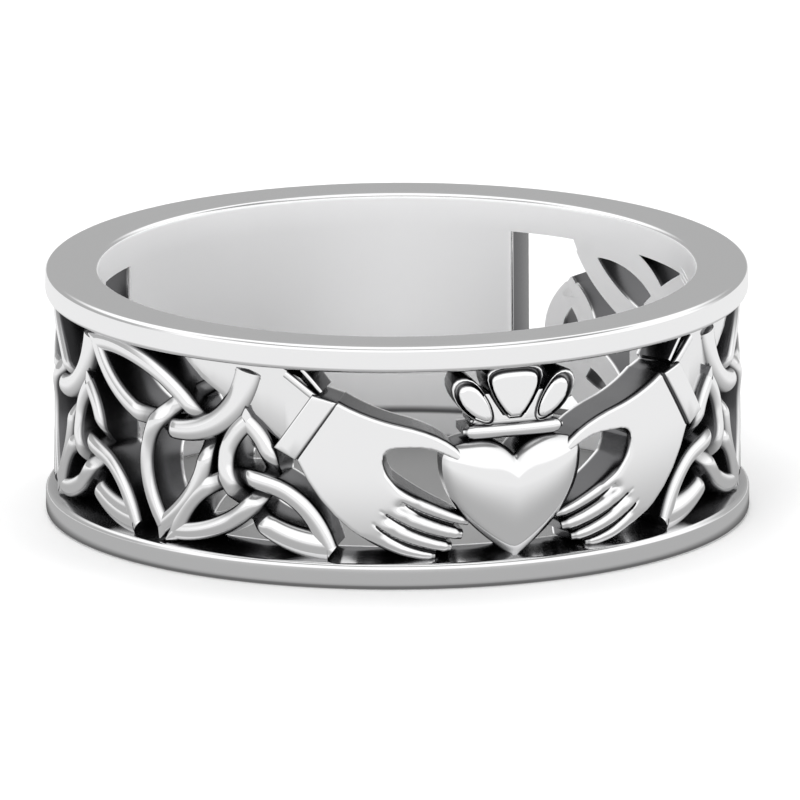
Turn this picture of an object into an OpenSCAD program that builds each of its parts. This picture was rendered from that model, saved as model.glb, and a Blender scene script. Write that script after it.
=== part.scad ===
// A claddagh finger ring, cast in one piece: two plain rims and a plain back plate, and between
// them, cut right through to the finger, two hands that hold a crowned heart and a band of trinity
// knots. The finger axis is Z, the heart faces -Y, and the ring lies on its lower rim at z = 0.
// Sizes are in millimetres. The openwork's tables hold pairs of [angle, share]: the angle round the
// band in degrees, counter-clockwise from above, and the height as a share of half the window
// between the rims, from -1 at the lower rim to 1 at the upper one. The tables give the half on the
// +X side, and the other half is its mirror image.

/* [Band] */
// Inside diameter, the finger's size
bore_d = 17.3; // [15.5:0.1:21]
// Thickness of the wall at the rims
wall_t = 1.53; // [1.4:0.01:1.8]
// Width of the band along the finger
band_w = 7.23; // [6.8:0.01:8]
// Height of the outer face of each rim
rim_w = 0.76; // [0.6:0.01:0.9]
// How much higher each rim is at the finger side
rim_ledge = 0.2; // [0.1:0.01:0.3]
// Rounding of the rims' edges
rim_round = 0.1; // [0.08:0.01:0.2]
// Half of the angle that the plain back plate takes up
plate_half_angle = 42.9; // [40:0.1:46]
// How far the back plate lies inside the rims' outer face
plate_drop = 0.2; // [0.05:0.01:0.4]

/* [Hands, heart and crown] */
// How far the backs of the hands lie inside the rims' outer face
hand_drop = 0.23; // [0.1:0.01:0.4]
// Depth of the grooves between the fingers
groove_depth = 0.3; // [0.1:0.01:0.5]
// How much the cuffs stand out of the hands
cuff_rise = 0.1; // [0.04:0.01:0.2]
// How much the sleeves lie lower than the hands
sleeve_step = 0.16; // [0.05:0.01:0.3]
// How far the heart's middle lies inside the rims' outer face
heart_drop = 0.03; // [0:0.01:0.2]
// Radius of the heart's rounded face
heart_face_r = 5.2; // [4.8:0.1:9]
// How far the crown lies inside the rims' outer face
crown_drop = 0.24; // [0.1:0.01:0.4]
// Depth of the panel inside each petal's border
panel_depth = 0.12; // [0.05:0.01:0.3]
// Width of a petal's border
border_w = 0.2; // [0.1:0.01:0.25]

/* [Knots] */
// Angle from one knot to the next one that points the same way
knot_pitch = 38.8; // [38:0.1:39]
// Angle from the heart to the first knot that points up
up_knot_at = 46.5; // [46:0.1:47]
// Angle from the heart to the first knot that points down
down_knot_at = 64.2; // [63.5:0.1:65]
// How far the strands' cords lie inside the rims' outer face
cord_drop = 0.24; // [0.1:0.01:0.4]
// Width of a strand's raised cord
cord_w = 0.54; // [0.4:0.01:0.6]
// Width of a strand at the finger side
foot_w = 0.8; // [0.7:0.01:0.9]
// Thickness of the strands' feet, over which the cords stand
foot_t = 0.86; // [0.6:0.01:1]

/* [Hidden] */
$fn = 128;
bore_r = bore_d / 2;
outer_r = bore_r + wall_t;
cord_r = outer_r - cord_drop;
hand_r = outer_r - hand_drop;
crown_r = outer_r - crown_drop;
heart_r = outer_r - heart_drop;
window_half = band_w / 2 - rim_w;
root_t = 0.15;          // the wall starts this much inside the bore, which is cut last
bore_over = 1;          // the bore's cutter reaches this far past both rims
corner_step = 30;       // a rim's rounded corner turns by this angle from point to point
root_r = bore_r - root_t;
cord_tip = 0.1;         // how far a cord's pointed end runs on
finger_tip = 0.08;      // how far a finger's pointed end runs on
steps = 10;             // straight pieces that a curve is drawn in
silver = [0.86, 0.86, 0.87];

// Strands of a knot: the four points of a curve, measured from the knot's own middle, and how far
// along the curve, as a share, the strand passes under another one.
UNDER = 4;
up_knot = [
    [[0, 0.385], [-11, -0.16], [2.3, -0.84], [14.4, -0.86], 0.36],
    [[0, 0.385], [11, -0.16], [-2.3, -0.84], [-14.4, -0.86], 0.567],
    [[-14.4, -0.875], [-9.8, 0.02], [9.8, 0.02], [14.4, -0.875], 0.6],
];
down_knot = [
    [[18.2, 0.875], [3.5, 1.1], [-23.6, 0.26], [-0.3, -0.82], 0.635],
    [[-0.3, -0.82], [11, 0.12], [-3.5, 0.58], [-17.9, 0.91], 0.683],
    [[18.2, 0.875], [11, 0.12], [-13.8, -0.19], [-17.9, 0.91], 0.445],
];
up_knots = 3;           // on each side of the heart
down_knots = 2;         // between them

// Fingers, thumb first: the four points of a curve from the back of the hand to the tip, and the
// finger's width at its root and at its tip.
ROOT_W = 4;
TIP_W = 5;
fingers = [
    [[26.5, 0.26], [19.6, 0.4], [13.5, 0.35], [9.6, 0.12], 0.95, 0.22],
    [[25.4, -0.09], [20.8, -0.3], [15, -0.455], [8, -0.59], 0.62, 0.26],
    [[25.9, -0.28], [20.8, -0.49], [15.6, -0.61], [9.1, -0.69], 0.6, 0.26],
    [[26.5, -0.44], [21.9, -0.65], [16.7, -0.77], [10.4, -0.83], 0.6, 0.26],
    [[27.1, -0.6], [22.5, -0.81], [18.4, -0.89], [13.5, -0.92], 0.6, 0.2],
];
MIDDLE_FINGER = 2;

// Outlines, each with the angle at which it stands on the band.
hand_at = 24.2;
back_of_hand = [
    [30.2, 0.66], [37.4, 0.05], [35.6, -0.16], [33.2, -0.37], [29.6, -0.6], [25.6, -0.79],
    [22.5, -0.86], [21.6, -0.63], [21.3, -0.42], [20.9, -0.23], [21.8, -0.105], [23.2, 0.035],
    [22.8, 0.15], [21.3, 0.28], [21.3, 0.455], [25.4, 0.525],
];
cuff_at = 35.7;
cuff = [[34.5, 0.74], [41.2, 0.165], [37.4, 0.045], [30.2, 0.67]];
sleeve_at = 47.2;
sleeve = [
    [34.3, 0.735], [36.9, 0.89], [40.9, 1], [50.7, 1.02], [61.1, 1], [56.2, 0.75], [51, 0.57],
    [47.3, 0.47], [44.4, 0.35], [40.6, 0.17], [37.5, 0.455],
];

// The heart's edge on the +X side in three curves, from the notch to the lobe, the side and the
// point, and the height of the middle of its rounded face.
heart_curves = [
    [[0, 0.07], [1.4, 0.2], [4.3, 0.25], [6.6, 0.245]],
    [[6.6, 0.245], [10.4, 0.23], [12.6, 0.175], [12.6, 0.02]],
    [[12.6, 0.02], [12.7, -0.44], [6.3, -0.735], [0, -1.01]],
];
heart_middle = -0.21;

// The crown's circlet, a bar with a thin lip on it, each as [half of its angle, bottom, top].
bar = [8.8, 0.263, 0.41];
lip = [7.7, 0.385, 0.476];

// The crown's petals. The middle one ends in half an oval of this [half angle, height].
petal_oval = [4.5, 0.14];
petal_foot = [0.8, 0.44];
petal_shoulder = [4.5, 0.875];
side_petal = [
    [4.15, 0.455], [3.8, 0.58], [4.6, 0.7], [6.5, 0.83], [8.4, 0.9], [9.9, 0.875], [10.1, 0.79],
    [9.3, 0.65], [7.8, 0.525], [7.5, 0.455],
];

// The place of a table's pair on a flat drawing that touches the band at the angle at.
function flat(p, at = 0) = [cord_r * sin(p.x - at), p.y * window_half];
function flat_all(points, at = 0) = [for (p = points) flat(p, at)];
function curve(p, t) = pow(1 - t, 3) * p[0] + 3 * pow(1 - t, 2) * t * p[1]
    + 3 * (1 - t) * t * t * p[2] + t * t * t * p[3];
function heading(p, t) = 3 * pow(1 - t, 2) * (p[1] - p[0]) + 6 * (1 - t) * t * (p[2] - p[1])
    + 3 * t * t * (p[3] - p[2]);
function unit(d) = d / norm(d);
function leftward(d) = unit([-d.y, d.x]);
function mix(a, b, t) = a + (b - a) * t;
function mean(points, i = 0) = i == len(points) ? [0, 0] : points[i] / len(points) + mean(points, i + 1);

// A strip along part of a curve, w0 wide at its start and w1 at its end, with a point at each end.
module strip(p, from, to, w0, w1, point) {
    n = max(3, round(steps * (to - from)));
    ts = [for (i = [0:n]) mix(from, to, i / n)];
    sides = [for (i = [0:n]) leftward(heading(p, ts[i])) * mix(w0, w1, i / n) / 2];
    polygon(concat(
        [curve(p, from) - unit(heading(p, from)) * point],
        [for (i = [0:n]) curve(p, ts[i]) - sides[i]],
        [curve(p, to) + unit(heading(p, to)) * point],
        [for (i = [n:-1:0]) curve(p, ts[i]) + sides[i]]
    ));
}

// Stands a flat drawing on the band at an angle from the heart and keeps what is within radius r.
module on_band(at, r) {
    intersection() {
        rotate([0, 0, at]) translate([0, 0, band_w / 2]) rotate([90, 0, 0])
            linear_extrude(height = outer_r) children();
        rotate_extrude() translate([root_r, 0]) square([r - root_r, band_w]);
    }
}

// The strands' feet run on, and their cords stop short of where they pass under another one.
module strand_feet(strands) {
    for (s = strands) strip(flat_all([for (i = [0:3]) s[i]]), 0, 1, foot_w, foot_w, foot_w / 2);
}

module strand_cords(strands) {
    for (s = strands) {
        p = flat_all([for (i = [0:3]) s[i]]);
        gap = foot_w / 2 / norm(heading(p, s[UNDER]));
        strip(p, 0, s[UNDER] - gap, cord_w, cord_w, cord_tip);
        strip(p, s[UNDER] + gap, 1, cord_w, cord_w, cord_tip);
    }
}

module knot(strands, at) {
    on_band(at, bore_r + foot_t) strand_feet(strands);
    on_band(at, cord_r) strand_cords(strands);
}

module knots() {
    for (i = [0:up_knots - 1]) knot(up_knot, up_knot_at + i * knot_pitch);
    for (i = [0:down_knots - 1]) knot(down_knot, down_knot_at + i * knot_pitch);
}

module finger(f, widening = 0) {
    strip(flat_all([for (i = [0:3]) f[i]], hand_at), 0.15, 1, f[ROOT_W] + widening,
        f[TIP_W] + widening, finger_tip);
}

// The fingers stand apart over a lower web that joins them.
module hand() {
    on_band(hand_at, hand_r) {
        polygon(flat_all(back_of_hand, hand_at));
        for (f = fingers) finger(f);
    }
    on_band(hand_at, hand_r - groove_depth) finger(fingers[MIDDLE_FINGER], fingers[MIDDLE_FINGER][TIP_W]);
}

module cuff() {
    on_band(cuff_at, hand_r + cuff_rise) polygon(flat_all(cuff, cuff_at));
}

module sleeve() {
    on_band(sleeve_at, hand_r - sleeve_step) polygon(flat_all(sleeve, sleeve_at));
}

module heart() {
    right = [for (c = heart_curves) for (i = [0:steps / 2 - 1]) curve(flat_all(c), 2 * i / steps)];
    left = [for (i = [len(right) - 1:-1:1]) [-right[i].x, right[i].y]];
    intersection() {
        on_band(0, outer_r) polygon(concat(right, [flat(heart_curves[2][3])], left));
        translate([0, heart_face_r - heart_r, band_w / 2 + heart_middle * window_half])
            sphere(r = heart_face_r);
    }
}

module circlet_bar(b) {
    half = cord_r * sin(b[0]);
    translate([-half, b[1] * window_half]) square([2 * half, (b[2] - b[1]) * window_half]);
}

middle_petal_right = concat([petal_foot, petal_shoulder], [for (a = [22.5:22.5:67.5])
    [petal_oval.x * cos(a), petal_shoulder.y + petal_oval.y * sin(a)]]);
middle_petal = concat(middle_petal_right, [[0, petal_shoulder.y + petal_oval.y]],
    [for (i = [len(middle_petal_right) - 1:-1:0]) [-middle_petal_right[i].x, middle_petal_right[i].y]]);

// A petal's outline, drawn in towards its middle by the border's width.
module petal(outline, border = 0) {
    p = flat_all(outline);
    m = mean(p);
    polygon([for (q = p) q - unit(q - m) * border]);
}

module petals(border = 0) {
    petal(middle_petal, border);
    for (side = [0, 1]) mirror([side, 0]) petal(side_petal, border);
}

// Each petal is a raised border round a panel that lies lower.
module crown() {
    on_band(0, crown_r) circlet_bar(bar);
    on_band(0, crown_r - panel_depth) {
        circlet_bar(lip);
        petals();
    }
    on_band(0, crown_r) difference() {
        petals();
        petals(border_w);
    }
}

// One half of the lower rim's cross-section from above: a rounded corner in three steps.
function corner(x, z, from) = [for (a = [from:corner_step:from + 90])
    [x + rim_round * cos(a), z + rim_round * sin(a)]];

// The lower rim: rounded at its outer edges and at the finger side, with a ledge under the window.
module lower_rim() {
    rotate_extrude() polygon(concat(
        [[root_r, rim_w + rim_ledge], [root_r, 2 * rim_round]],
        corner(bore_r + rim_round, rim_round, 180),
        corner(outer_r - rim_round, rim_round, 270),
        corner(outer_r - rim_round, rim_w - rim_round, 0),
        [[cord_r - 2 * rim_ledge, rim_w + rim_ledge / 3], [cord_r - 3 * rim_ledge, rim_w + rim_ledge]]
    ));
}

module rims() {
    lower_rim();
    translate([0, 0, band_w]) mirror([0, 0, 1]) lower_rim();
}

module back_plate() {
    rotate_extrude(angle = 2 * plate_half_angle, start = 90 - plate_half_angle)
        translate([root_r, rim_w / 2]) square([outer_r - plate_drop - root_r, band_w - rim_w]);
}

module ring() {
    color(silver) difference() {
        union() {
            rims();
            back_plate();
            for (side = [0, 1]) mirror([side, 0, 0]) {
                knots();
                hand();
                cuff();
                sleeve();
            }
            heart();
            crown();
        }
        translate([0, 0, -bore_over]) cylinder(r = bore_r, h = band_w + 2 * bore_over);
    }
}

ring();
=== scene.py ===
# %% [markdown]
# A claddagh ring of silver, lying on its side. Two hands hold a crowned heart, and rows of three-
# cornered knots run round from them to a plain plate at the back. The real ring is one casting. Here
# it is made as thirteen pieces that touch, because each kind of shape has its own best way: rims are
# spun, strands are swept along curves, the hands are melted together, and the heart is drawn in ring
# by ring.
#
# The imported model gives the frame. Its finger hole runs along Z and its lower face lies on the floor.
# Whatever this script makes has to sit on the same band and inside the same box.

# %% Load the imported ring
import math
import bpy
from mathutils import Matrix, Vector


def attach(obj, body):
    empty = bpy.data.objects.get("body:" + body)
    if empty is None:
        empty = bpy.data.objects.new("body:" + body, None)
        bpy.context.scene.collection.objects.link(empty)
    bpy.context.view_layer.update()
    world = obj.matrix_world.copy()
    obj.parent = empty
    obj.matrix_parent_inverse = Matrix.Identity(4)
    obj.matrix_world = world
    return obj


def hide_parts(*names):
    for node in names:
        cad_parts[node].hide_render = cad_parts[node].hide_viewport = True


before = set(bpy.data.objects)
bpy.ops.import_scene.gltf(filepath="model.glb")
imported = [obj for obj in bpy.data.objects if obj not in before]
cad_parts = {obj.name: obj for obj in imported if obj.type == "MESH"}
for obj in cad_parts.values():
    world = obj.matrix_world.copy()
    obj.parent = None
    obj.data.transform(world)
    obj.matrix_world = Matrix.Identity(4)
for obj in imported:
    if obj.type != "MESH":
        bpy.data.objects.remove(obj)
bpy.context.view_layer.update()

# %% [markdown]
# All sizes are in millimetres, as a ring maker gives them. Blender works in metres, where a ring is
# so small that remesh and bevel tools would round it away. So each piece is modelled at a thousand
# times its size, and the last step of its making shrinks it.
#
# bore_r and outer_r are the radii of the finger hole and of the rims. cord_r is the radius at which
# the openwork lies. It is a little less than outer_r, so that the rims guard the ornament against
# knocks. rim_ledge is the small sloping step between a rim and the open part, which is called the
# window here. The plate at the back reaches plate_half_angle to each side.

# %% Sizes of the band
bore_r = 8.65
outer_r = 10.18
cord_r = 9.94
band_w = 7.23
rim_w = 0.76
rim_ledge = 0.2
rim_round = 0.14
plate_drop = 0.2
plate_half_angle = 42.9
mid_z = band_w / 2
window_half = mid_z - rim_w
bore_depth = cord_r - bore_r
millimetre = 0.001
print("window", round(2 * window_half, 2), "mm high, metal", round(bore_depth, 2), "mm deep")

# %% [markdown]
# Everything between the rims is drawn flat, as if the band were cut open at the back and rolled out.
# X runs round the finger, Y across the band, and Z points away from the finger.
#
# A place on the drawing is given by an angle from the middle of the heart and by a share of the
# window's half height, which is -1 at the lower rim and 1 at the upper one. Angles and shares read
# well in a table, and they stay right when the size of the ring changes. The other way, with plain
# millimetres, would need a new table for each ring size.

# %% The rolled-out drawing
def on_band(angle, share):
    """The place in the rolled-out drawing of an angle from the heart and a share of the window."""
    return Vector((math.radians(angle) * cord_r, share * window_half, 0))


def places(table, shift=0):
    """The places of a row of table entries, moved round the ring by an angle."""
    return [on_band(angle + shift, share) for angle, share in table]


def across(place):
    """The same place on the other side of the heart."""
    return Vector((-place.x, place.y, 0))


print("tip of the heart at", [round(c, 2) for c in on_band(0, -1)], "mm on the drawing")

# %% [markdown]
# Operators in edit mode act on whatever is selected, as a modeller's hands do. So each step first
# selects its vertices or edges, and says in code which ones: by their place, their height or their
# number. pick takes a small test and selects all that pass it.
#
# The selection is written in object mode and the operators want edit mode, so pick goes from one to
# the other and ends in edit mode. only and nothing leave edit mode again. New primitives are added
# after nothing(), so that no older piece is changed by accident.

# %% Helpers for picking
def nothing():
    """Leaves edit mode with nothing selected."""
    if bpy.context.object and bpy.context.object.mode != "OBJECT":
        bpy.ops.object.mode_set(mode="OBJECT")
    bpy.ops.object.select_all(action="DESELECT")


def only(piece):
    """Leaves edit mode and selects this piece alone."""
    nothing()
    piece.select_set(True)
    bpy.context.view_layer.objects.active = piece


def pick(piece, kind, wanted):
    """Goes to edit mode with the chosen vertices or edges selected."""
    only(piece)
    bpy.ops.object.mode_set(mode="EDIT")
    bpy.ops.mesh.select_mode(type=kind)
    bpy.ops.mesh.select_all(action="DESELECT")
    bpy.ops.object.mode_set(mode="OBJECT")
    mesh = piece.data
    if kind == "VERT":
        for v in mesh.vertices:
            v.select = wanted(v)
    else:
        for e in mesh.edges:
            e.select = wanted(*(mesh.vertices[i].co for i in e.vertices))
    bpy.ops.object.mode_set(mode="EDIT")

# %% [markdown]
# Four jobs come back all the time. A modifier is added and applied at once, so that the mesh itself
# holds the result. An object's place, turn and size are put into its mesh, which settle does. Pieces
# are joined into one mesh. And after a mirror, a spin or a cut, vertices that lie on one another are
# merged and the faces are turned outwards, because a doubled vertex or a face that looks inwards
# spoils the shading and the next tool.

# %% Helpers that change a piece
merge_distance = 0.0001


def apply_modifier(piece, kind, **settings):
    only(piece)
    bpy.ops.object.modifier_add(type=kind)
    modifier = piece.modifiers[-1]
    for name, value in settings.items():
        setattr(modifier, name, value)
    bpy.ops.object.modifier_apply(modifier=modifier.name)


def settle(piece):
    """Puts an object's place, turn and size into its mesh."""
    only(piece)
    bpy.ops.object.transform_apply(location=True, rotation=True, scale=True)


def join(pieces, name):
    only(pieces[0])
    for p in pieces:
        p.select_set(True)
    bpy.ops.object.join()
    whole = bpy.context.object
    whole.name = name
    return whole


def outwards(piece):
    """Merges doubled vertices and turns the faces outwards."""
    pick(piece, "VERT", lambda v: True)
    bpy.ops.mesh.remove_doubles(threshold=merge_distance)
    bpy.ops.mesh.normals_make_consistent(inside=False)
    bpy.ops.object.mode_set(mode="OBJECT")

# %% [markdown]
# A curve with four points starts at the first and ends at the last, and the two in between pull it
# towards them. Blender's own bezier tool draws the same curve. curve_at gives a place on it, and
# heading_at the direction in which it runs there.
#
# trace turns a row of such curves into an outline, and both_sides adds the mirror image of half an
# outline. Drawing an outline with a few curves is better than typing many points: the shape stays
# smooth, and a change needs only one or two numbers.

# %% Curves and outlines
def curve_at(points, t):
    a, b, c, d = points
    s = 1 - t
    return s**3 * a + 3 * s * s * t * b + 3 * s * t * t * c + t**3 * d


def heading_at(points, t):
    a, b, c, d = points
    s = 1 - t
    return 3 * s * s * (b - a) + 6 * s * t * (c - b) + 3 * t * t * (d - c)


def mix(a, b, t):
    return a + (b - a) * t


def trace(curves, steps=6):
    """Points along a row of curves, each given by four table entries."""
    return [curve_at(places(c), i / steps) for c in curves for i in range(steps)]


def both_sides(points):
    """An outline that starts and ends on the middle line, with its mirror image."""
    return points + [across(p) for p in points[:0:-1]]

# %% [markdown]
# A goldsmith also makes an ornament flat and bends it round a mandrel. Simple Deform does this in
# Blender. Its bend has an angle and no radius, so the radius follows from the length: for a radius of
# cord_r the angle is the length divided by cord_r.
#
# A long flat face would stay flat while the points at its ends are bent, so large faces are first cut
# across with bisect, like the slats of a roller blind. Strands and remeshed skin have enough points
# already. It is also possible to bend the points by a formula, but the modifier shows what happens
# and works in the same way when one does it by hand.

# %% Roll a flat piece onto the band
roll_step = 0.3


def roll_up(piece, cut=False):
    """Stands a flat piece up and bends it round the finger."""
    outwards(piece)
    if cut:
        xs = [v.co.x for v in piece.data.vertices]
        for i in range(math.ceil(min(xs) / roll_step), math.ceil(max(xs) / roll_step)):
            pick(piece, "VERT", lambda v: True)
            bpy.ops.mesh.bisect(plane_co=(i * roll_step, 0, 0), plane_no=(1, 0, 0))
        bpy.ops.object.mode_set(mode="OBJECT")
    piece.rotation_euler = (math.radians(90), 0, 0)
    settle(piece)
    xs = [v.co.x for v in piece.data.vertices]
    apply_modifier(piece, "SIMPLE_DEFORM", deform_method="BEND", deform_axis="Z",
                   angle=(max(xs) - min(xs)) / cord_r)
    piece.location = (0, -cord_r, mid_z)
    settle(piece)
    return piece

# %% [markdown]
# Every piece ends with the same steps. It is shrunk to metres, and its shading is smoothed except
# where two faces meet at a sharp angle, so that strands look round while cuffs and rims keep their
# crisp edges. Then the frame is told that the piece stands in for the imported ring.
#
# The printed line is worth reading. A piece that is far too large, or that has far more faces than
# its neighbours, was drawn or bent wrongly.

# %% Finish a piece
finished = []


def finish_piece(piece, smooth=35):
    piece.scale = (millimetre,) * 3
    settle(piece)
    bpy.ops.object.shade_smooth_by_angle(angle=math.radians(smooth))
    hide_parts("ring")
    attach(piece, "root")
    finished.append(piece)
    print(piece.name, len(piece.data.polygons), "faces,",
          [round(d * 1000, 2) for d in piece.dimensions], "mm")

# %% [markdown]
# The ring is the same on both sides of the heart. So knots, hands, cuffs and sleeves are made once
# and mirrored, and the copy gets its own mesh. A mirror turns the faces inside out, which is put
# right at once. The Mirror modifier would do it too, but then both sides would be one piece.

# %% Finish a piece on both sides
def finish_pair(piece, left_name, smooth=35):
    """Finishes a piece, and a mirrored copy of it for the other side of the heart."""
    only(piece)
    bpy.ops.object.duplicate(linked=False)
    copy = bpy.context.object
    copy.name = left_name
    copy.scale.x = -1
    settle(copy)
    outwards(copy)
    for side in (piece, copy):
        finish_piece(side, smooth)

# %% [markdown]
# Many shapes here start as an outline. The circle primitive serves as a closed row of points, which
# closed_row then moves to their places.
#
# What is the same all the way round is made by spinning. A cross-section is a flat face in the XZ
# plane. spin_ring turns it about the finger, and for a full turn its face is taken out first, because
# it would stay behind as a wall inside the metal.

# %% Outlines, cross-sections and a spin
spin_steps = 256


def closed_row(name, points, fill="NOTHING"):
    """A closed row of edges through these points, made from a circle."""
    nothing()
    bpy.ops.mesh.primitive_circle_add(vertices=len(points), radius=1, fill_type=fill)
    piece = bpy.context.object
    piece.name = name
    for v, point in zip(piece.data.vertices, points):
        v.co = point
    return piece


def cross_section(name, corners):
    """A flat face in the XZ plane with these corners."""
    return closed_row(name, [(r, 0, z) for r, z in corners], "NGON")


def spin_ring(piece, angle, steps):
    pick(piece, "VERT", lambda v: True)
    if angle == 360:
        bpy.ops.mesh.delete(type="ONLY_FACE")
        bpy.ops.mesh.select_all(action="SELECT")
    bpy.ops.mesh.spin(steps=steps, angle=math.radians(angle), center=(0, 0, 0), axis=(0, 0, -1))
    outwards(piece)

# %% [markdown]
# A rim takes the knocks on a real ring. It is a flat band with edges that are slightly rounded by
# wear. A torus would give a round wire, so it is no help here. The edges are rounded as corners of
# the cross-section, before the spin. A bevel on the finished rim would give the same shape, but it
# would have to follow every edge round the ring.
#
# The ledge towards the window slopes, so that it catches a thin line of light. The upper rim is the
# lower one turned over and lifted to the top of the band.

# %% Rims
def rim(name):
    corners = [
        (bore_r, rim_w + rim_ledge), (bore_r, 0), (outer_r, 0), (outer_r, rim_w),
        (cord_r - 2 * rim_ledge, rim_w + rim_ledge / 3), (cord_r - 3 * rim_ledge, rim_w + rim_ledge),
    ]
    piece = cross_section(name, corners)
    pick(piece, "VERT", lambda v: v.co.z < rim_ledge or v.co.x > cord_r)
    bpy.ops.mesh.bevel(offset=rim_round, segments=5, affect="VERTICES")
    spin_ring(piece, 360, spin_steps)
    return piece


lower = rim("lower_rim")
only(lower)
bpy.ops.object.duplicate(linked=False)
upper = bpy.context.object
upper.name = "upper_rim"
upper.scale.z = -1
upper.location.z = band_w
settle(upper)
outwards(upper)
for piece in (lower, upper):
    finish_piece(piece)

# %% [markdown]
# At the back the band is a plain plate, set a little lower than the rims. A jeweller can cut and
# resize a band there without harm to the ornament. Its inside is smooth and is left bare.
#
# The plate is a rectangle spun through less than half a turn, so inside and outside are true circles.
# Its two upright ends are bevelled, because an end without a bevel looks like a cut in paper, and
# this one should catch a line of light. A bent cube would work as well, with more steps.

# %% Back plate
plate_edge = 0.08
plate_lap = 0.1
plate_lift = 0.005
plate_steps = 64
end_reach = 0.1
plate_r = outer_r - plate_drop
plate_bore = bore_r + plate_lift
low, high = rim_w - plate_lap, band_w - rim_w + plate_lap
plate = cross_section("back_plate", [
    (plate_bore, low), (plate_bore, high), (plate_r, high), (plate_r, low)])
plate.rotation_euler = (0, 0, math.radians(90 - plate_half_angle))
settle(plate)
spin_ring(plate, 2 * plate_half_angle, plate_steps)


def at_plate_end(p):
    return abs(math.degrees(math.atan2(p.x, p.y))) > plate_half_angle - end_reach


pick(plate, "EDGE", lambda a, b: at_plate_end(a) and at_plate_end(b) and abs(a.z - b.z) > window_half)
bpy.ops.mesh.bevel(offset=plate_edge, segments=3, affect="EDGES")
finish_piece(plate)

# %% [markdown]
# A strand of a knot has a rounded top on walls that widen a little on the way down to the finger.
# Cast metal needs this to come out of its mould, and it also gives the walls some light.
#
# The cross-section starts as a circle. It is squeezed to a low arch, and its lower points are spread
# and pushed down to the finger side. They are known by number, so they can be found again after the
# sweep. The fingers of the hands and the bars of the crown have a top that is half round.

# %% Cross-sections of strands and fingers
strand_w = 0.58
strand_arch = 0.19
foot_share = 1.22
section_points = 24
foot_points = range(7, 18)


def cross_section_curve(name, arch):
    """The outline of a strand: an arch of this height on walls that reach past the finger side."""
    nothing()
    bpy.ops.mesh.primitive_circle_add(vertices=section_points, radius=strand_w / 2)
    piece = bpy.context.object
    piece.name = name
    pick(piece, "VERT", lambda v: True)
    bpy.ops.transform.resize(value=(1, 2 * arch / strand_w, 1), center_override=(0, 0, 0))
    pick(piece, "VERT", lambda v: v.index in foot_points)
    bpy.ops.transform.resize(value=(foot_share, 1, 1), center_override=(0, 0, 0))
    bpy.ops.transform.translate(value=(0, -bore_depth, 0))
    bpy.ops.mesh.select_all(action="SELECT")
    bpy.ops.transform.translate(value=(0, -arch, 0))
    bpy.ops.object.mode_set(mode="OBJECT")
    bpy.ops.object.convert(target="CURVE")
    return piece


flat_section = cross_section_curve("flat_section", strand_arch)
round_section = cross_section_curve("round_section", strand_w / 2)

# %% [markdown]
# A sweep pushes the cross-section along a curve, with a width for each step of the way. Blender's
# curves do this with a bevel object. The curve then becomes a mesh, because weaving needs the mesh
# tools.
#
# At a crossing, the top of the strand is pushed down or lifted with proportional editing, which moves
# the points nearby less and less, as a rounded punch bends a wire. Heights set on the curve's own
# points gave lumps between the points. Last, the foot of the strand is flattened onto the finger
# side, so that a strand still reaches the bore where its top dips.

# %% Sweep a strand along a curve
sweep_resolution = 5
crossing_reach = 0.8
punch_half = 0.05


def sweep(points, widths, heights, section=flat_section, crossings=()):
    """A strand along a curve, with its width and the height of its top at even steps.
    Each crossing is a share of the way along and how far the strand rises or dips there."""
    nothing()
    bpy.ops.curve.primitive_bezier_curve_add()
    path = bpy.context.object
    path.data.dimensions = "3D"
    first, last = path.data.splines[0].bezier_points
    for end in (first, last):
        end.handle_left_type = end.handle_right_type = "FREE"
    first.co, first.handle_right = points[0], points[1]
    first.handle_left = 2 * points[0] - points[1]
    last.co, last.handle_left = points[3], points[2]
    last.handle_right = 2 * points[3] - points[2]
    bpy.ops.object.mode_set(mode="EDIT")
    bpy.ops.curve.select_all(action="SELECT")
    bpy.ops.curve.subdivide(number_cuts=len(widths) - 2)
    bpy.ops.object.mode_set(mode="OBJECT")
    for point, width, height in zip(path.data.splines[0].bezier_points, widths, heights):
        lift = Vector((0, 0, height))
        for place in ("co", "handle_left", "handle_right"):
            setattr(point, place, getattr(point, place) + lift)
        point.radius = width / strand_w
    path.data.bevel_mode = "OBJECT"
    path.data.bevel_object = section
    path.data.use_fill_caps = True
    path.data.twist_mode = "Z_UP"
    path.data.resolution_u = sweep_resolution
    bpy.ops.object.convert(target="MESH")
    strand = bpy.context.object
    for t, lift in crossings:
        place = curve_at(points, t)
        ahead = heading_at(points, t).normalized()
        pick(strand, "VERT", lambda v: abs((v.co - place).dot(ahead)) < punch_half
             and (v.co - place).length < strand_w and v.index % section_points not in foot_points)
        bpy.ops.transform.translate(value=(0, 0, lift), use_proportional_edit=True,
                                    proportional_edit_falloff="SMOOTH", proportional_size=crossing_reach)
    pick(strand, "VERT", lambda v: v.index % section_points in foot_points)
    bpy.ops.transform.resize(value=(1, 1, 0), center_override=(0, 0, -bore_depth))
    bpy.ops.object.mode_set(mode="OBJECT")
    return strand

# %% [markdown]
# Each knot has three strands that pass over and under one another, as in a plait. A row of the table
# holds the four points of a strand and two shares of its length: where it dives under another strand
# and where it passes over one.
#
# The up-knots stand on the lower rim. The down-knots hang from the upper rim between them, so that
# the two rows interlock. Three and two of them fill one side of the ring. Since every knot of a kind
# is the same, its table is written once and used at several angles.

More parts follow.
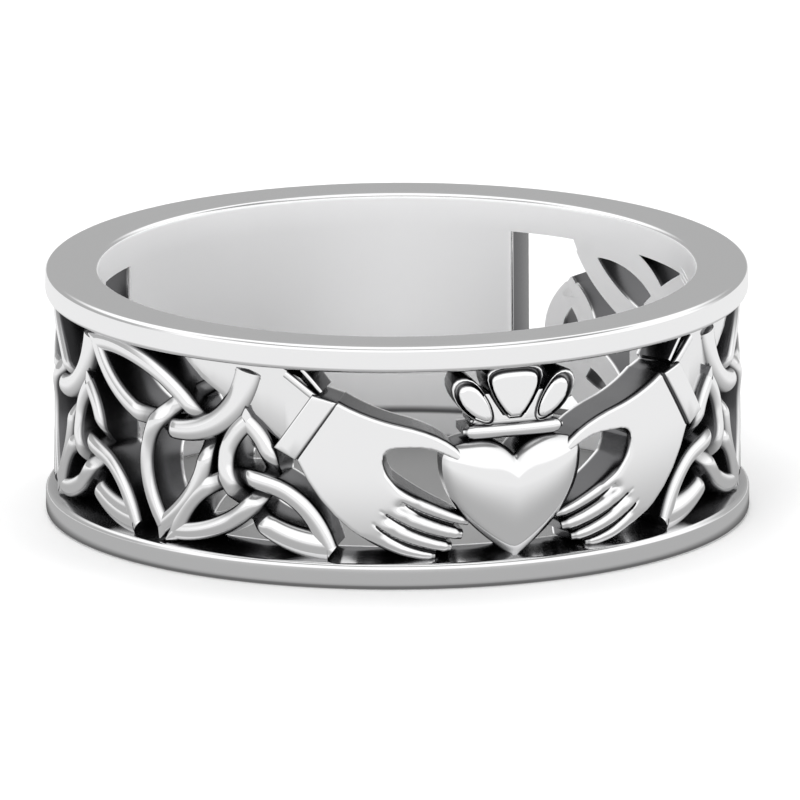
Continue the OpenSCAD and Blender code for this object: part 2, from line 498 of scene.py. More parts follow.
# %% The drawing of the knots
knot_pitch = 38.8
up_knot = [
    ([(0, 0.385), (-11, -0.16), (2.3, -0.84), (14.4, -0.86)], 0.36, 0.567),
    ([(0, 0.385), (11, -0.16), (-2.3, -0.84), (-14.4, -0.86)], 0.567, 0.36),
    ([(-14.4, -0.875), (-9.8, 0.02), (9.8, 0.02), (14.4, -0.875)], 0.6, 0.4),
]
down_knot = [
    ([(18.2, 0.875), (3.5, 1.1), (-23.6, 0.26), (-0.3, -0.82)], 0.635, 0.488),
    ([(-0.3, -0.82), (11, 0.12), (-3.5, 0.58), (-17.9, 0.91)], 0.683, 0.458),
    ([(18.2, 0.875), (11, 0.12), (-13.8, -0.19), (-17.9, 0.91)], 0.445, 0.67),
]
first_up, first_down = 46.5, 64.2
knot_places = [(up_knot, first_up + i * knot_pitch) for i in range(3)]
knot_places += [(down_knot, first_down + i * knot_pitch) for i in range(2)]
dip = 0.5
rise = 0.07
weave_steps = 10
low_heights = [0, 0, 0, 0, 0, 0, -0.2, -0.5, -0.52, -0.52, -0.52]
low_widths = [strand_w] * 7 + [0.52, 0.46, 0.4, 0.34]
print(sum(len(strands) for strands, at in knot_places), "strands on each side")

# %% [markdown]
# Two strands that end together leave a notch between them. A cusp closes it. It is a short sweep in
# the direction halfway between the two, and it narrows to a point. On the side of the heart a strand
# gets wider instead and ends in a short blade, like the tip of a leaf. The blades of the down-knots
# are the widest, and they dip at their very end. An end lies on that side if it is at least
# blade_from degrees away from the middle of its knot.
#
# The ends are paired by distance, so the tables need no column for it. A point could also be made by
# scaling the ends of both strands to nothing, but two thin ends side by side never look like one
# sharp corner.

# %% Strands and cusps
tip_reach = 0.42
tip_widths = [strand_w, strand_w, 0.44, 0.26, 0.05]
blade_from = 10
blade_w = 1.0
blade_reach = 0.16
blade_widths = [strand_w, strand_w, 0.5]
blade_drop = 0.3
cusp_sink = 0.02


def cusp(place, ways, reach, widths, drop=0):
    """The end that two strands share, from their own headings."""
    out = (ways[0] + ways[1]).normalized()
    start, end = place - out * blade_reach, place + out * reach
    heights = [-cusp_sink] * (len(widths) - 1) + [-cusp_sink - drop]
    return sweep([mix(start, end, i / 3) for i in range(4)], widths, heights)


def knot(strands, at):
    """The strands of a knot. In a down-knot, the second one ends low, under the third one's blade."""
    made, ends = [], []
    heart_side = on_band(at - blade_from, 0).x
    for number, (table, under, over) in enumerate(strands):
        points = places(table, at)
        widening = (blade_w - strand_w) * (points[3].x < heart_side)
        widths = [strand_w + widening * max(0, 2 * i / weave_steps - 1) for i in range(weave_steps + 1)]
        heights, crossings = [0] * (weave_steps + 1), [(under, -dip), (over, rise)]
        if strands is down_knot and number == 1:
            widths, heights, crossings = low_widths, low_heights, [(over, rise)]
        made.append(sweep(points, widths, heights, crossings=crossings))
        ends.append((points[0], -heading_at(points, 0).normalized()))
        ends.append((points[3], heading_at(points, 1).normalized()))
    while ends:
        place, way = ends.pop()
        partner = min(ends, key=lambda e: (e[0] - place).length)
        ends.remove(partner)
        if place.x >= heart_side:
            made.append(cusp(place, (way, partner[1]), tip_reach, tip_widths))
        elif strands is down_knot:
            made.append(cusp(place, (way, way), blade_reach, [blade_w] * 3, blade_drop))
        else:
            made.append(cusp(place, (way, partner[1]), blade_reach, blade_widths))
    return made

# %% [markdown]
# The knots are made on the flat drawing, joined, and rolled up in one go.
#
# The strands stay separate shells that run through one another, which costs nothing in a render. In
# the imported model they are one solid, as in the casting.

# %% Make the knots
parts = []
for strands, at in knot_places:
    parts += knot(strands, at)
finish_pair(roll_up(join(parts, "knotwork_right")), "knotwork_left")

# %% [markdown]
# A hand is the back of a hand with its thumb, and four fingers that lie side by side and hold the
# heart. hand_curves is the outline of the back of the hand and the thumb. The table of fingers has
# the four points of each one, its width at the root and its width at the tip.
#
# The grooves between the fingers have lines of their own. A groove starts as a fine point on the back
# of the hand and gets wider and deeper towards the tips.

# %% The drawing of a hand
fingers = [
    ([(25.4, -0.09), (20.8, -0.29), (15, -0.465), (7.9, -0.62)], 0.6, 0.3),
    ([(25.9, -0.28), (20.8, -0.5), (15.6, -0.65), (9, -0.745)], 0.76, 0.44),
    ([(26.5, -0.44), (21.9, -0.67), (16.7, -0.8), (10.9, -0.87)], 0.74, 0.38),
    ([(27.1, -0.6), (22.5, -0.82), (18.4, -0.91), (13.7, -0.95)], 0.62, 0.3),
]
grooves = [
    [(19.8, -0.35), (17.4, -0.488), (12.4, -0.593), (8.5, -0.665)],
    [(23.2, -0.45), (18.1, -0.68), (15.2, -0.724), (10.2, -0.807)],
    [(24.4, -0.58), (21, -0.8), (16.3, -0.864), (12.9, -0.913)],
]
hand_curves = [
    [(30.2, 0.68), (26.5, 0.56), (22, 0.475), (19.7, 0.445)],
    [(19.7, 0.445), (15.5, 0.39), (11.2, 0.28), (8.9, 0.11)],
    [(8.9, 0.11), (8.5, 0.07), (8.7, 0.025), (9.5, 0.025)],
    [(9.5, 0.025), (12.2, 0.11), (14, 0.195), (18, 0.195)],
    [(18, 0.195), (20.5, 0.195), (22.4, 0.19), (22.5, 0.08)],
    [(22.5, 0.08), (22.5, 0), (22, -0.07), (21.2, -0.14)],
    [(21.2, -0.14), (15.5, -0.4), (22.3, -0.42), (22.4, -0.6)],
    [(22.4, -0.6), (22.5, -0.7), (22.8, -0.8), (22.5, -0.84)],
    [(22.5, -0.84), (28, -0.74), (34, -0.4), (37.4, 0.05)],
    [(37.4, 0.05), (35, 0.26), (32.6, 0.47), (30.2, 0.68)],
]

# %% [markdown]
# Palms, cuffs and sleeves start as a slab: a closed outline, filled with one face and pulled down to
# the finger side. Only the edges of its upper face get a bevel. Nobody sees the lower ones, and a
# round there would leave a gap at the bore. Heights that differ by less than near count as equal.

# %% A slab with an outline
near = 0.001


def slab(name, outline, top, bevel=0):
    """A flat piece with an outline, from the finger side up to a height, with rounded top edges."""
    piece = closed_row(name, [(p.x, p.y, top) for p in outline])
    pick(piece, "VERT", lambda v: True)
    bpy.ops.mesh.edge_face_add()
    bpy.ops.mesh.normals_make_consistent(inside=False)
    bpy.ops.mesh.extrude_region_move(TRANSFORM_OT_translate={"value": (0, 0, -bore_depth - top)})
    if bevel:
        pick(piece, "EDGE", lambda a, b: a.z > top - near and b.z > top - near)
        bpy.ops.mesh.bevel(offset=bevel, segments=3, affect="EDGES")
    bpy.ops.object.mode_set(mode="OBJECT")
    return piece

# %% [markdown]
# The palm's edges are rounded before the hand is melted together, because a remesh keeps the edges
# that it finds. The thumb gets a wide round and the outer side of the hand a narrow one. The side
# that the fingers grow from slopes most of all, so that they don't start at a step. Each finger is a
# sweep that sinks a little towards the heart, with a blunt end.
#
# One could also draw the whole hand as one mesh, face by face. That is the usual way for a large
# figure, but on a ring a finger is half a millimetre wide, and what counts is how it meets its
# neighbours.

# %% Palm and fingers
hand_top = 0.01
thumb_bevel = 0.15
outer_bevel = 0.05
root_bevel = 0.2
thumb_end = on_band(30.3, -0.125)
root_end = on_band(22.9, 0)
finger_steps = 14
finger_sink = 0.1
root_sink = 0.05
blunt_drop = 0.11
blunt_steps = [(-2, 0.94, 0.2), (-1, 0.66, 1)]


def on_thumb_side(p):
    return p.z > 0 and p.y > thumb_end.y and p.x < thumb_end.x


def on_outer_side(p):
    return p.z > 0 and p.x > root_end.x and not on_thumb_side(p)


def on_finger_side(p):
    return p.z > 0 and p.x < root_end.x and not on_thumb_side(p)


def finger(table, root, tip):
    """A finger with its width at the root and at the tip. Its last steps are narrower and lower."""
    shares = [i / finger_steps for i in range(finger_steps + 1)]
    widths = [mix(root, tip, t) for t in shares]
    heights = [-finger_sink * t**3 - root_sink * (1 - t)**6 for t in shares]
    for step, narrower, lower in blunt_steps:
        widths[step] *= narrower
        heights[step] -= lower * blunt_drop
    return sweep(places(table), widths, heights, round_section)


palm = slab("palm", trace(hand_curves), hand_top)
for on_side, bevel, segments in ((on_thumb_side, thumb_bevel, 4), (on_outer_side, outer_bevel, 2),
                                 (on_finger_side, root_bevel, 4)):
    pick(palm, "EDGE", lambda a, b: on_side(a) and on_side(b))
    bpy.ops.mesh.bevel(offset=bevel, segments=segments, affect="EDGES")
bpy.ops.object.mode_set(mode="OBJECT")
parts = [palm] + [finger(*row) for row in fingers]

# %% [markdown]
# A voxel remesh turns pieces that overlap into one skin, as if they were of wax and pressed together.
# Smoothing then softens it. Used everywhere, it would eat the thin fingers, so it is strong only in a
# vertex group along the line of the knuckles, where the fingers grow out of the hand.
#
# The grooves are cut after this, so that they stay fine. The chisel is a thin strand turned upside
# down: its rounded top becomes the floor of the groove. A second remesh takes the sharp edges off.
# One could also leave a gap between the fingers, but the smoothing would close it at the roots, where
# the real grooves are finest.
#
# The remesh has no flat underside, so the lowest points are pressed onto the finger side before the
# hand is rolled up.

# %% Melt the hand together and cut the grooves
skin_voxel = 0.0275
knuckle_reach = 0.65
knuckle_depth = 0.5
press_reach = 0.06
groove_steps = 12
groove_start_w = 0.04
groove_w = 0.11
groove_depth = 0.45


def chisel(table):
    shares = [i / groove_steps for i in range(groove_steps + 1)]
    widths = [mix(groove_start_w, groove_w, t**0.5) for t in shares]
    depths = [groove_depth * t**0.5 for t in shares]
    blade = sweep(places(table), widths, depths, round_section)
    pick(blade, "VERT", lambda v: True)
    bpy.ops.transform.resize(value=(1, 1, -1), center_override=(0, 0, 0))
    bpy.ops.mesh.normals_make_consistent(inside=False)
    bpy.ops.object.mode_set(mode="OBJECT")
    return blade


hand = join(parts, "hand_right")
outwards(hand)
apply_modifier(hand, "REMESH", mode="VOXEL", voxel_size=skin_voxel)
knuckles = hand.vertex_groups.new(name="knuckles")
root_line = trace(hand_curves[6:8])
for v in hand.data.vertices:
    away = min(math.hypot(v.co.x - p.x, v.co.y - p.y) for p in root_line)
    if v.co.z > -knuckle_depth and away < knuckle_reach:
        knuckles.add([v.index], min(1, 2 - 2 * away / knuckle_reach), "REPLACE")
apply_modifier(hand, "SMOOTH", factor=0.5, iterations=125, vertex_group="knuckles")
cutter = join([chisel(table) for table in grooves], "chisels")
apply_modifier(hand, "BOOLEAN", operation="DIFFERENCE", object=cutter, solver="EXACT")
bpy.data.objects.remove(cutter)
apply_modifier(hand, "REMESH", mode="VOXEL", voxel_size=skin_voxel)
apply_modifier(hand, "SMOOTH", factor=0.5, iterations=5)
pick(hand, "VERT", lambda v: v.co.z < -bore_depth + press_reach)
bpy.ops.transform.resize(value=(1, 1, 0), center_override=(0, 0, -bore_depth))
finish_pair(roll_up(hand), "hand_left", smooth=60)

# %% [markdown]
# The cuff is a plain band across the wrist. It stands higher than the hand and the sleeve, so it
# shows a sharp edge on both sides. A bevel on its upper face is all it needs.

# %% Cuffs
cuff_top = 0.11
cuff_bevel = 0.07
cuff_outline = [(34.5, 0.74), (41.2, 0.165), (37.4, 0.045), (30.2, 0.67)]
cuff = slab("cuff_right", places(cuff_outline), cuff_top, cuff_bevel)
finish_pair(roll_up(cuff, cut=True), "cuff_left")

# %% [markdown]
# The sleeve runs from the cuff up to the rim and goes on behind the first knots. It lies lower than
# they do, so that they seem to cross it. Its long lower edge has a wide bevel, which catches a band
# of light, and the two folds near the rim are short sweeps.
#
# A draped cloth would be the thing for a real sleeve. Here the caster shows cloth by one flat shape
# with a turned edge, and so does the slab.

# %% Sleeves
sleeve_top = -0.15
hem_w = 0.28
hem_end = on_band(40.2, 1.005)
fold_steps = 6
sleeve_outline = [
    (34.3, 0.735), (36.9, 0.89), (40.9, 1), (50.7, 1.02), (61.1, 1), (56.2, 0.75), (51, 0.57),
    (47.3, 0.47), (44.4, 0.35), (40.6, 0.17), (37.5, 0.455),
]
folds = [
    ([(39.4, 0.93), (37.5, 0.85), (36, 0.78), (34.2, 0.7)], 0.22, -0.02),
    ([(36.6, 0.98), (35.6, 0.92), (34.4, 0.84), (33.2, 0.755)], 0.14, -0.1),
]
sleeve_body = slab("sleeve", places(sleeve_outline), sleeve_top)


def on_hem(p):
    """True on the sleeve's long lower edge."""
    return p.z > sleeve_top - near and p.y < hem_end.y and p.x > hem_end.x


pick(sleeve_body, "EDGE", lambda a, b: on_hem(a) and on_hem(b))
bpy.ops.mesh.bevel(offset=hem_w, segments=2, affect="EDGES")
bpy.ops.object.mode_set(mode="OBJECT")
parts = [sleeve_body]
for table, width, height in folds:
    parts.append(sweep(places(table), [width] * fold_steps, [height] * fold_steps))
finish_pair(roll_up(join(parts, "sleeve_right"), cut=True), "sleeve_left")

# %% [markdown]
# The heart is swollen like a small pillow, and it is the largest polished surface of the ring, so
# every flaw in its shape shows as a kink in its reflections. Half of its outline is drawn with three
# curves. The heart's middle, towards which it is drawn in, lies below the centre of the window, where
# the real heart is highest.

# %% The drawing of the heart
heart_curves = [
    [(0, 0.07), (1.4, 0.2), (4.3, 0.25), (6.6, 0.245)],
    [(6.6, 0.245), (10.4, 0.23), (12.6, 0.175), (12.6, 0.02)],
    [(12.6, 0.02), (12.7, -0.44), (6.3, -0.735), (0, -1.01)],
]
heart_middle = on_band(0, -0.3)
heart_edge = -0.2
heart_top = 0.21
heart_rings = 18
ring_crowding = 1.4
dome_width = 2.6
dome_rise = 0.62
curve_steps = 20

# %% [markdown]
# polar_fill takes a ring of edges and makes smaller copies of it, one inside the other: extrude,
# scale, lift, and again, until the last copy closes in the middle. The heights alone decide the
# profile. A grid of faces would have to be bent into a dome afterwards, and its edges would meet the
# outline at odd angles.

# %% Draw an outline in to its middle
def polar_fill(centre, shares, heights):
    """Draws the selected ring of edges in towards a centre, and closes it there."""
    last_share, last_height = 1.0, 0.0
    for share, height in zip(shares, heights):
        bpy.ops.mesh.extrude_region_move(
            TRANSFORM_OT_translate={"value": (0, 0, height - last_height)})
        if share > 0:
            bpy.ops.transform.resize(value=(share / last_share, share / last_share, 1),
                                     center_override=centre)
            last_share = share
        else:
            bpy.ops.mesh.merge(type="CENTER")
        last_height = height

# %% [markdown]
# The heights rise steeply at the edge and flatten out towards the middle, so the light rolls over the
# edge quickly and the middle stays calm. The copies of the notch and of the tip leave ridges that run
# to the middle. Some smoothing of the upper side takes them away, and the outline keeps its place
# because it isn't in the vertex group.

# %% Heart
bottom_shares = [0.8, 0.6, 0.4, 0.2, 0]
outline = both_sides(trace(heart_curves, curve_steps) + places(heart_curves[-1][-1:]))
heart = closed_row("heart", [(p.x, p.y, heart_edge) for p in outline])
shares = [1 - ((i + 1) / heart_rings) ** ring_crowding for i in range(heart_rings)]
heights = [(heart_top - heart_edge) * (1 - s**dome_width) ** dome_rise for s in shares]
pick(heart, "VERT", lambda v: True)
polar_fill(heart_middle, shares, heights)
pick(heart, "VERT", lambda v: v.index < len(outline))
bpy.ops.mesh.extrude_region_move(TRANSFORM_OT_translate={"value": (0, 0, -bore_depth - heart_edge)})
polar_fill(heart_middle, bottom_shares, [0] * len(bottom_shares))
bpy.ops.object.mode_set(mode="OBJECT")
inside = heart.vertex_groups.new(name="inside")
inside.add([v.index for v in heart.data.vertices if v.co.z > heart_edge + near], 1.0, "REPLACE")
apply_modifier(heart, "SMOOTH", factor=0.5, iterations=30, vertex_group="inside")
finish_piece(roll_up(heart), smooth=50)

# %% [markdown]
# The crown has three petals on two bars, a thick one above the heart and a thin one behind it. bar
# and lip hold half the angle of each, its share of the window, its width and the height of its top.
# One side petal is drawn, and the other is its mirror image. leaf_base is the outline of a low plate
# that joins the feet of the petals.
#
# petal_rings says how the surface of a petal runs inwards. Each pair is a mean distance from the edge
# and a height above it: first a raised border, then a groove, then a swollen panel. A petal is drawn
# in towards its foot, so its border is wide at the tip and narrow at the foot.

# %% The drawing of the crown
bar = (9.0, 0.335, 0.5, 0)
lip = (7.6, 0.435, 0.36, -0.1)
side_petal = [
    [(5.4, 0.41), (8.6, 0.47), (11.5, 0.68), (11.2, 0.81)],
    [(11.2, 0.81), (10.9, 0.93), (8.4, 0.96), (6.7, 0.85)],
    [(6.7, 0.85), (5.1, 0.74), (3.6, 0.58), (3.6, 0.47)],
    [(3.6, 0.47), (3.6, 0.4), (4.4, 0.39), (5.4, 0.41)],
]
middle_petal = [
    [(0, 1.02), (3, 1.02), (5.2, 1.01), (5.1, 0.89)],
    [(5.1, 0.89), (4.9, 0.76), (2, 0.44), (0, 0.42)],
]
middle_root = on_band(0, 0.6)
side_root = on_band(6, 0.58)
leaf_base = [
    (-7.4, 0.42), (7.4, 0.42), (5.3, 0.73), (4.4, 0.73), (2, 0.5), (-2, 0.5), (-4.4, 0.73), (-5.3, 0.73),
]
leaf_base_top = -0.1
leaf_base_bevel = 0.05
petal_edge = -0.12
petal_rings = [
    (0.015, 0.07), (0.04, 0.11), (0.065, 0.12), (0.09, 0.09), (0.11, 0.01), (0.135, -0.03), (0.16, 0),
    (0.18, 0.06), (0.21, 0.1), (0.27, 0.12), (0.4, 0.13),
]

# %% [markdown]
# A bar is a sweep that gets narrower and lower at both ends, so they come out round. A petal is made
# with polar_fill, as the heart is. The inset operator would keep the border equally wide all round,
# but where the outline turns sharply it throws spikes, and smaller copies of the outline can't cross
# one another.

# %% Bars and petals
bar_steps = 17
bar_end = [(0.35, 0.12), (0.85, 0.02)]


def cross_bar(half_angle, share, width, height):
    line = [on_band(mix(-half_angle, half_angle, i / 3), share) for i in range(4)]
    widths = [narrow * width for narrow, drop in bar_end]
    heights = [height - drop for narrow, drop in bar_end]
    return sweep(line, widths + [width] * bar_steps + widths[::-1],
                 heights + [height] * bar_steps + heights[::-1], round_section)


def petal(name, outline, root):
    """A leaf of the crown: a rounded border, a groove, and a swollen panel inside it."""
    piece = closed_row(name, [(p.x, p.y, petal_edge) for p in outline])
    reach = sum((p - root).length for p in outline) / len(outline)
    pick(piece, "VERT", lambda v: True)
    polar_fill(root, [1 - inset / reach for inset, lift in petal_rings] + [0],
               [lift for inset, lift in petal_rings] + [petal_rings[-1][1]])
    pick(piece, "VERT", lambda v: v.index < len(outline))
    bpy.ops.mesh.extrude_region_move(TRANSFORM_OT_translate={"value": (0, 0, -bore_depth - petal_edge)})
    bpy.ops.mesh.edge_face_add()
    bpy.ops.object.mode_set(mode="OBJECT")
    return piece

# %% [markdown]
# The pieces of the crown are joined and rolled up like all the others. The cross-sections have done
# their work after this and are removed.

# %% Put the crown together
side = trace(side_petal)
parts = [
    cross_bar(*bar),
    cross_bar(*lip),
    slab("leaf_base", places(leaf_base), leaf_base_top, leaf_base_bevel),
    petal("petal_middle", both_sides(trace(middle_petal)), middle_root),
    petal("petal_right", side, side_root),
    petal("petal_left", [across(p) for p in side[::-1]], across(side_root)),
]
finish_piece(roll_up(join(parts, "crown"), cut=True))
for section in (flat_section, round_section):
    bpy.data.objects.remove(section)

# %% [markdown]
# Now the looks. Shader maths in nodes is hard to read, so this small class wraps a socket, and a
# formula such as 1 - mask adds its Math nodes by itself. The reflected forms let a plain number stand
# in front.

# %% Arithmetic on shader sockets
class Value:
    """A socket that takes part in plain arithmetic."""

    def __init__(self, finish, socket):
        self.finish, self.socket = finish, socket

    def _math(self, operation, a, b):
        made = self.finish.node("ShaderNodeMath", {"operation": operation}, {0: a, 1: b})
        return Value(self.finish, made.outputs[0])

    def __add__(self, other):
        return self._math("ADD", self, other)

    def __sub__(self, other):
        return self._math("SUBTRACT", self, other)

    def __rsub__(self, other):
        return self._math("SUBTRACT", other, self)

    def __mul__(self, other):
        return self._math("MULTIPLY", self, other)

    __radd__ = __add__
    __rmul__ = __mul__

# %% [markdown]
# Every other node comes from one method. Settings come first, because they can change which sockets a
# node has. between is used most of all: it is a soft step from 0 to 1, and nearly every pattern here
# is a product of such steps.

# %% Nodes and soft steps
class Finish:
    """A material, with one method that adds any node."""

    def __init__(self, tree):
        self.tree = tree
        tree.nodes.clear()

    def node(self, kind, settings=None, inputs=None):
        made = self.tree.nodes.new(kind)
        for name, value in (settings or {}).items():
            setattr(made, name, value)
        for name, value in (inputs or {}).items():
            value = getattr(value, "socket", value)
            if isinstance(value, bpy.types.NodeSocket):
                self.tree.links.new(value, made.inputs[name])
            else:
                made.inputs[name].default_value = value
        return made

    def value(self, *args):
        return Value(self, self.node(*args).outputs[0])

    def vector_number(self, operation, a, b=(0, 0, 0)):
        """A number from vectors: a length, a distance or a dot product."""
        made = self.node("ShaderNodeVectorMath", {"operation": operation}, {0: a, 1: b})
        return Value(self, made.outputs["Value"])

    def between(self, x, low, high):
        """0 below low, 1 above high, and smooth in between."""
        return self.value("ShaderNodeMapRange", {"interpolation_type": "SMOOTHSTEP"},
                          {"Value": x, "From Min": low, "From Max": high})

# %% [markdown]
# Polished silver has nearly no colour of its own. What one sees in it is the room. So its material
# needs only small things: roughness that varies a little, fine scratches from the polishing cloth, a
# finger side that is satin instead of bright, and painted shade in the recesses.
#
# The recesses of the openwork get painted shade: their colour is darkened where a ring in a studio
# has shadow and dark reflections. facing compares the direction of the surface with the way out from
# the finger. Tops near the outer radius that face outwards stay bright, and walls and low places get
# the painted shade and are a little rougher. The rims lie above and below the window and stay bright.
# The line of the seam inside, where the back plate meets the lower rim, is a painted shadow.
#
# Each pair of numbers below is where a soft step begins and ends: a radius, a height or a share.
#
# All patterns use object coordinates, so they stay in place when the ring is turned, and they need no
# unwrapping. Painting the recesses would need an unwrapped mesh and a picture.

# %% Polished silver
window_foot, window_head = (0.0007, 0.0009), (0.00633, 0.00653)
seam_foot, seam_head = (0.00068, 0.00077), (0.00079, 0.0010)
bore_edge, recess_edge = (0.00866, 0.00868), (0.00868, 0.0088)
unshaded_radius, unshaded_facing = (0.0093, 0.00986), (0.5, 0.93)
# The second colour is painted shade, for the recesses and the line of the seam.
bright_silver, painted_shade_silver = (0.95, 0.95, 0.955, 1), (0.13, 0.13, 0.134, 1)


def silver_material(name):
    material = bpy.data.materials.new(name)
    material.use_nodes = True
    f = Finish(material.node_tree)
    place = f.node("ShaderNodeTexCoord").outputs["Object"]
    flat = f.node("ShaderNodeMapping", {}, {"Vector": place, "Scale": (1, 1, 0)}).outputs[0]
    radius = f.vector_number("LENGTH", flat)
    height = Value(f, f.node("ShaderNodeSeparateXYZ", {}, {0: place}).outputs["Z"])
    in_window = f.between(height, *window_foot) * (1 - f.between(height, *window_head))
    outward = f.node("ShaderNodeVectorMath", {"operation": "NORMALIZE"}, {0: flat}).outputs[0]
    facing = f.vector_number("DOT_PRODUCT", outward, f.node("ShaderNodeNewGeometry").outputs["Normal"])
    unshaded_tops = f.between(radius, *unshaded_radius) * f.between(facing, *unshaded_facing)
    # Painted shade: walls and low places in the window are darkened, except the tops that face outwards.
    painted_shade = f.between(radius, *recess_edge) * (1 - unshaded_tops) * in_window
    bore = 1 - f.between(radius, *bore_edge)
    # Painted shadow: a dark line on the inside, where the back plate meets the lower rim.
    seam_shadow = f.between(height, *seam_foot) * (1 - f.between(height, *seam_head)) * bore
    cloud = f.value("ShaderNodeTexNoise", {}, {"Vector": place, "Scale": 900.0, "Detail": 3.0})
    grain = f.value("ShaderNodeTexNoise", {}, {"Vector": place, "Scale": 9000.0, "Detail": 2.0})
    brushed = f.node("ShaderNodeMapping", {}, {"Vector": place, "Scale": (1, 1, 14)}).outputs[0]
    scratch = f.value("ShaderNodeTexNoise", {}, {"Vector": brushed, "Scale": 5000.0, "Detail": 4.0})
    colour = f.node("ShaderNodeMix", {"data_type": "RGBA"},
                    {0: painted_shade + seam_shadow, 6: bright_silver, 7: painted_shade_silver}).outputs[2]
    bump = f.node("ShaderNodeBump", {}, {
        "Strength": 0.02, "Distance": 0.00001, "Height": scratch}).outputs[0]
    shader = f.node("ShaderNodeBsdfPrincipled", {}, {
        "Base Color": colour, "Metallic": 1 - bore * 0.62, "Normal": bump,
        "Roughness": 0.06 + cloud * 0.05 + grain * 0.03 + bore * 0.25 + painted_shade * 0.15})
    f.node("ShaderNodeOutputMaterial", {}, {"Surface": shader.outputs[0]})
    return material

# %% [markdown]
# The ring is one casting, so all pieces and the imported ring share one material.

# %% Give every piece its silver
silver = silver_material("polished_silver")
for piece in finished:
    piece.data.materials.clear()
    piece.data.materials.append(silver)
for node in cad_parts.values():
    node.data.materials.clear()
    node.data.materials.append(silver)
print(len(silver.node_tree.nodes), "nodes in the silver,", len(finished), "pieces")

# %% [markdown]
# The ring lies on a sheet of pale paper. Inside the ring the paper is dark grey, a painted shadow
# for the little light that gets down the finger hole. The sheet is kept out of reflections, where a
# glowing card takes its place.

# %% Floor
hole_edge = (0.0086, 0.0102)
painted_hole_shadow, paper_white = (0.25, 0.25, 0.25, 1), (0.92, 0.92, 0.92, 1)
nothing()
bpy.ops.mesh.primitive_plane_add(size=1.0)
floor = bpy.context.object
floor.name = "studio_floor"
floor.visible_glossy = False
paper = bpy.data.materials.new("studio_paper")
paper.use_nodes = True
f = Finish(paper.node_tree)
place = f.node("ShaderNodeTexCoord").outputs["Object"]
radius = f.vector_number("LENGTH", place)
# Painted shadow: the paper is dark grey inside the ring and pale outside it.
tone = f.node("ShaderNodeMix", {"data_type": "RGBA"}, {
    0: f.between(radius, *hole_edge), 6: painted_hole_shadow, 7: paper_white}).outputs[2]
f.node("ShaderNodeOutputMaterial", {}, {"Surface": f.node("ShaderNodeBsdfPrincipled", {}, {
    "Base Color": tone, "Roughness": 0.9}).outputs[0]})
floor.data.materials.append(paper)

# %% [markdown]
# Polished metal shows its surroundings, so they are half of the look. A photographer puts cards round
# a ring, which the silver sees and the camera doesn't. This one lies on the floor and glows, so it is
# painted light that only the silver shows. It is dark beside the ring, a painted shadow, grey around
# it and light farther out, and so the lower rim comes out grey and the upper rim nearly white, as in
# the photograph. A bright spot under the finger hole is painted light that lights the inside of the
# plate at the back.
#
# The card glows by itself, so its grey is exactly what the silver shows. A real card would need a
# lamp of its own, and its tone would change with every other lamp.

# %% Glowing card
card_r = 0.4
card_lift = 0.00002
card_painted_shadow, card_grey, card_light = 0.14, 0.3, 0.43
grey_from, light_from = (0.0102, 0.0107), (0.0125, 0.024)
spot_place, spot_edge, spot_light = (-0.0012, -0.0032, 0), (0.0034, 0.0054), 1.1
bpy.ops.mesh.primitive_circle_add(vertices=64, radius=card_r, fill_type="NGON", location=(0, 0, card_lift))
card = bpy.context.object
card.name = "glowing_card"
bpy.ops.object.transform_apply(location=True)
card.visible_camera = card.visible_diffuse = card.visible_shadow = False
grey = bpy.data.materials.new("glowing_card")
grey.use_nodes = True
f = Finish(grey.node_tree)
place = f.node("ShaderNodeTexCoord").outputs["Object"]
radius = f.vector_number("LENGTH", place)
# Painted light: the card glows dark beside the ring as a painted shadow, and lighter farther out.
shade = card_painted_shadow + card_grey * f.between(radius, *grey_from) + card_light * f.between(radius, *light_from)
# Painted light: a bright glowing spot under the finger hole.
spot = 1 - f.between(f.vector_number("DISTANCE", place, spot_place), *spot_edge)
shade = shade + spot_light * spot
tone = f.node("ShaderNodeCombineXYZ", {}, {0: shade, 1: shade, 2: shade}).outputs[0]
f.node("ShaderNodeOutputMaterial", {}, {"Surface": f.node("ShaderNodeEmission", {}, {
    "Color": tone}).outputs[0]})
card.data.materials.append(grey)

# %% [markdown]
# The walls and the ceiling are the world. It is light in front of the ring, white from just above the
# horizon, with a dark gap high up, and grey at the back. The flat top of the ring shows the back of
# the studio. The heart shows the front, and the lower edge of the white part is the bright line that
# runs across it. The dark gap draws thin lines along the rounded edges.

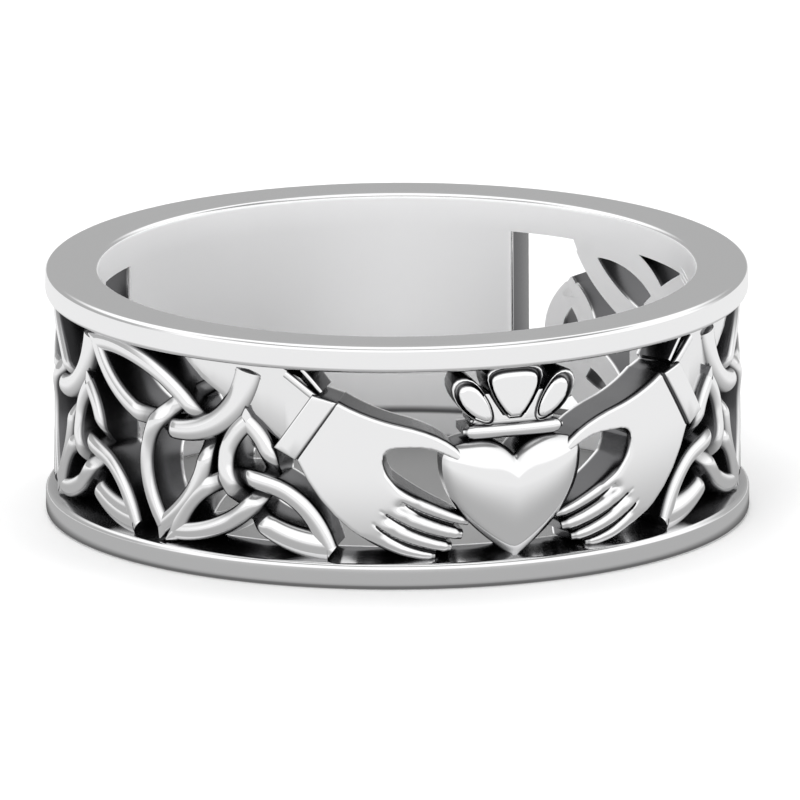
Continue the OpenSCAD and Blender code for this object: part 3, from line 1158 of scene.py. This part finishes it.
# %% Studio walls
horizon, back_from, back_rise = (0.01, 0.03), (0.0, 0.5), (0.35, 0.6)
gap_foot, gap_head = (0.72, 0.78), (0.88, 0.94)
front_low, front_gain, gap_loss = 0.86, 0.24, 0.8
back_low, back_gain = 0.44, 0.7
world = bpy.data.worlds.new("studio")
bpy.context.scene.world = world
world.use_nodes = True
f = Finish(world.node_tree)
direction = f.node("ShaderNodeTexCoord").outputs["Generated"]
axes = f.node("ShaderNodeSeparateXYZ", {}, {0: direction}).outputs
up = Value(f, axes["Z"])
back = f.between(Value(f, axes["Y"]), *back_from)
gap = f.between(up, *gap_foot) * (1 - f.between(up, *gap_head))
front_light = front_low + front_gain * f.between(up, *horizon) - gap_loss * gap
back_light = back_low + back_gain * f.between(up, *back_rise)
light = front_light * (1 - back) + back_light * back
f.node("ShaderNodeOutputWorld", {}, {"Surface": f.node("ShaderNodeBackground", {}, {
    "Color": (1, 1, 1, 1), "Strength": light}).outputs[0]})

# %% [markdown]
# Two wide lamps above the ring give it a faint shadow on the paper. They too are kept out of
# reflections, because their round shapes would draw spots on the silver.

# %% Soft lights
def soft_light(name, place, aim, size, power):
    bpy.ops.object.light_add(type="AREA", location=place)
    lamp = bpy.context.object
    lamp.name = name
    lamp.data.shape = "DISK"
    lamp.data.size = size
    lamp.data.energy = power
    lamp.visible_glossy = False
    lamp.rotation_euler = (Vector(aim) - Vector(place)).to_track_quat("-Z", "Y").to_euler()


soft_light("key_light", (-0.08, -0.1, 0.2), (0, 0, 0), 0.12, 0.14)
soft_light("top_light", (0.03, 0.05, 0.25), (0, 0, 0), 0.15, 0.16)

# %% [markdown]
# The photograph looks down on the ring. A circle seen at an angle is an ellipse, and its height
# divided by its width is the sine of that angle, which the rims give twice. The near and the far half
# of the rim are equally wide, so there is no perspective, and the camera is orthographic. The view is
# turned a little to the left, since the heart stands to the right of the middle.

# %% Camera
azimuth, elevation, roll = math.radians(-20.2), math.radians(13.7), math.radians(-0.235)
view_width = 0.02316
camera_distance = 0.2
aim_right, aim_down = 0.00008, 0.0004
back_way = Vector((math.sin(azimuth) * math.cos(elevation), -math.cos(azimuth) * math.cos(elevation),
                   math.sin(elevation)))
right_way = Vector((math.cos(azimuth), math.sin(azimuth), 0))
up_way = back_way.cross(right_way)
ring_middle = Vector((0, 0, mid_z * millimetre))
aim = ring_middle + right_way * aim_right - up_way * aim_down
bpy.ops.object.camera_add(location=aim + back_way * camera_distance)
camera = bpy.context.object
camera.data.type = "ORTHO"
camera.data.ortho_scale = view_width
camera.data.clip_start, camera.data.clip_end = 0.001, 10
camera.rotation_euler = (-back_way).to_track_quat("-Z", "Y").to_euler()
camera.rotation_euler.rotate_axis("Z", roll)
bpy.context.scene.camera = camera
bpy.context.scene.view_settings.view_transform = "Standard"
